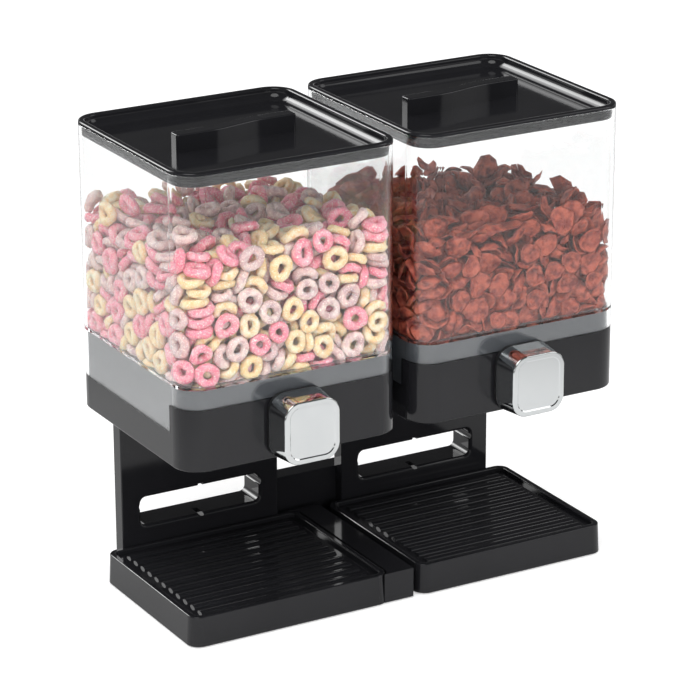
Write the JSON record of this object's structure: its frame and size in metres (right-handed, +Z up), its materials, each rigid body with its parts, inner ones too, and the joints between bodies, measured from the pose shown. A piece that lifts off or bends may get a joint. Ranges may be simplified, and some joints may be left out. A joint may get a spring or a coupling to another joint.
{
  "type": "food dispenser",
  "caption": "Twin dry-food dispenser: clear square hoppers with lids and turning knobs over ribbed bowl trays, on a pillar stand.",
  "frame": {"origin": "centre of the bounding box, on the surface that the dispenser stands on", "axes": "+X across both units to the right, +Y from the knobs towards the back, +Z up"},
  "size_m": [0.336, 0.1844, 0.3318],
  "materials": {
    "black_gloss_plastic": "polished moulded black",
    "black_matte_plastic": "satin moulded black",
    "smoke_plastic": "polished moulded black",
    "clear_plastic": "clear, polished",
    "chrome_plate": "bright plating, satin face",
    "grey_rubber": "matt",
    "silicone": "matt, slightly translucent",
    "black_silicone": "satin, soft",
    "white_acetal": "satin",
    "steel": "zinc plated"
  },
  "bodies": {
    "stand": {"left_stand_foot": "black_matte_plastic", "left_foot_pads": "grey_rubber", "left_pillar_front": "black_gloss_plastic", "left_pillar_core": "black_matte_plastic", "left_housing": "black_gloss_plastic", "left_dosing_drum": "black_matte_plastic", "left_funnel": "smoke_plastic", "left_front_bush": "white_acetal", "left_rear_bush": "white_acetal", "left_foot_screws": "steel", "left_pillar_screws": "steel", "left_housing_screws": "steel", "right_stand_foot": "black_matte_plastic", "right_foot_pads": "grey_rubber", "right_pillar_front": "black_gloss_plastic", "right_pillar_core": "black_matte_plastic", "right_housing": "black_gloss_plastic", "right_dosing_drum": "black_matte_plastic", "right_funnel": "smoke_plastic", "right_front_bush": "white_acetal", "right_rear_bush": "white_acetal", "right_foot_screws": "steel", "right_pillar_screws": "steel", "right_housing_screws": "steel", "bridge": "black_gloss_plastic", "tray_spacer": "black_gloss_plastic", "bridge_screws": "steel", "spacer_screws": "steel"},
    "left_drive": {"left_drive_shaft": "steel", "left_paddle_wheel": "silicone", "left_knob_core": "black_matte_plastic", "left_knob_cap": "chrome_plate", "left_knob_screw": "steel"},
    "left_hopper": {"left_hopper": "clear_plastic"},
    "left_lid": {"left_lid": "black_gloss_plastic", "left_lid_seal": "black_silicone"},
    "left_tray": {"left_tray": "black_gloss_plastic"},
    "right_drive": {"right_drive_shaft": "steel", "right_paddle_wheel": "silicone", "right_knob_core": "black_matte_plastic", "right_knob_cap": "chrome_plate", "right_knob_screw": "steel"},
    "right_hopper": {"right_hopper": "clear_plastic"},
    "right_lid": {"right_lid": "black_gloss_plastic", "right_lid_seal": "black_silicone"},
    "right_tray": {"right_tray": "black_gloss_plastic"}
  },
  "joints": [
    {"name": "left_knob_turn", "type": "hinge", "parent": "stand", "child": "left_drive", "pos_m": [-0.087, -0.08, 0.1497], "axis": [0, 1, 0], "continuous": true},
    {"name": "left_hopper_lift", "type": "slide", "parent": "stand", "child": "left_hopper", "axis": [0, 0, 1], "range_m": [0, 0.035]},
    {"name": "left_lid_lift", "type": "slide", "parent": "left_hopper", "child": "left_lid", "axis": [0, 0, 1], "range_m": [0, 0.04]},
    {"name": "left_tray_lift", "type": "slide", "parent": "stand", "child": "left_tray", "axis": [0, 0, 1], "range_m": [0, 0.03]},
    {"name": "right_knob_turn", "type": "hinge", "parent": "stand", "child": "right_drive", "pos_m": [0.087, -0.08, 0.1497], "axis": [0, 1, 0], "continuous": true},
    {"name": "right_hopper_lift", "type": "slide", "parent": "stand", "child": "right_hopper", "axis": [0, 0, 1], "range_m": [0, 0.035]},
    {"name": "right_lid_lift", "type": "slide", "parent": "right_hopper", "child": "right_lid", "axis": [0, 0, 1], "range_m": [0, 0.04]},
    {"name": "right_tray_lift", "type": "slide", "parent": "stand", "child": "right_tray", "axis": [0, 0, 1], "range_m": [0, 0.03]}
  ]
}
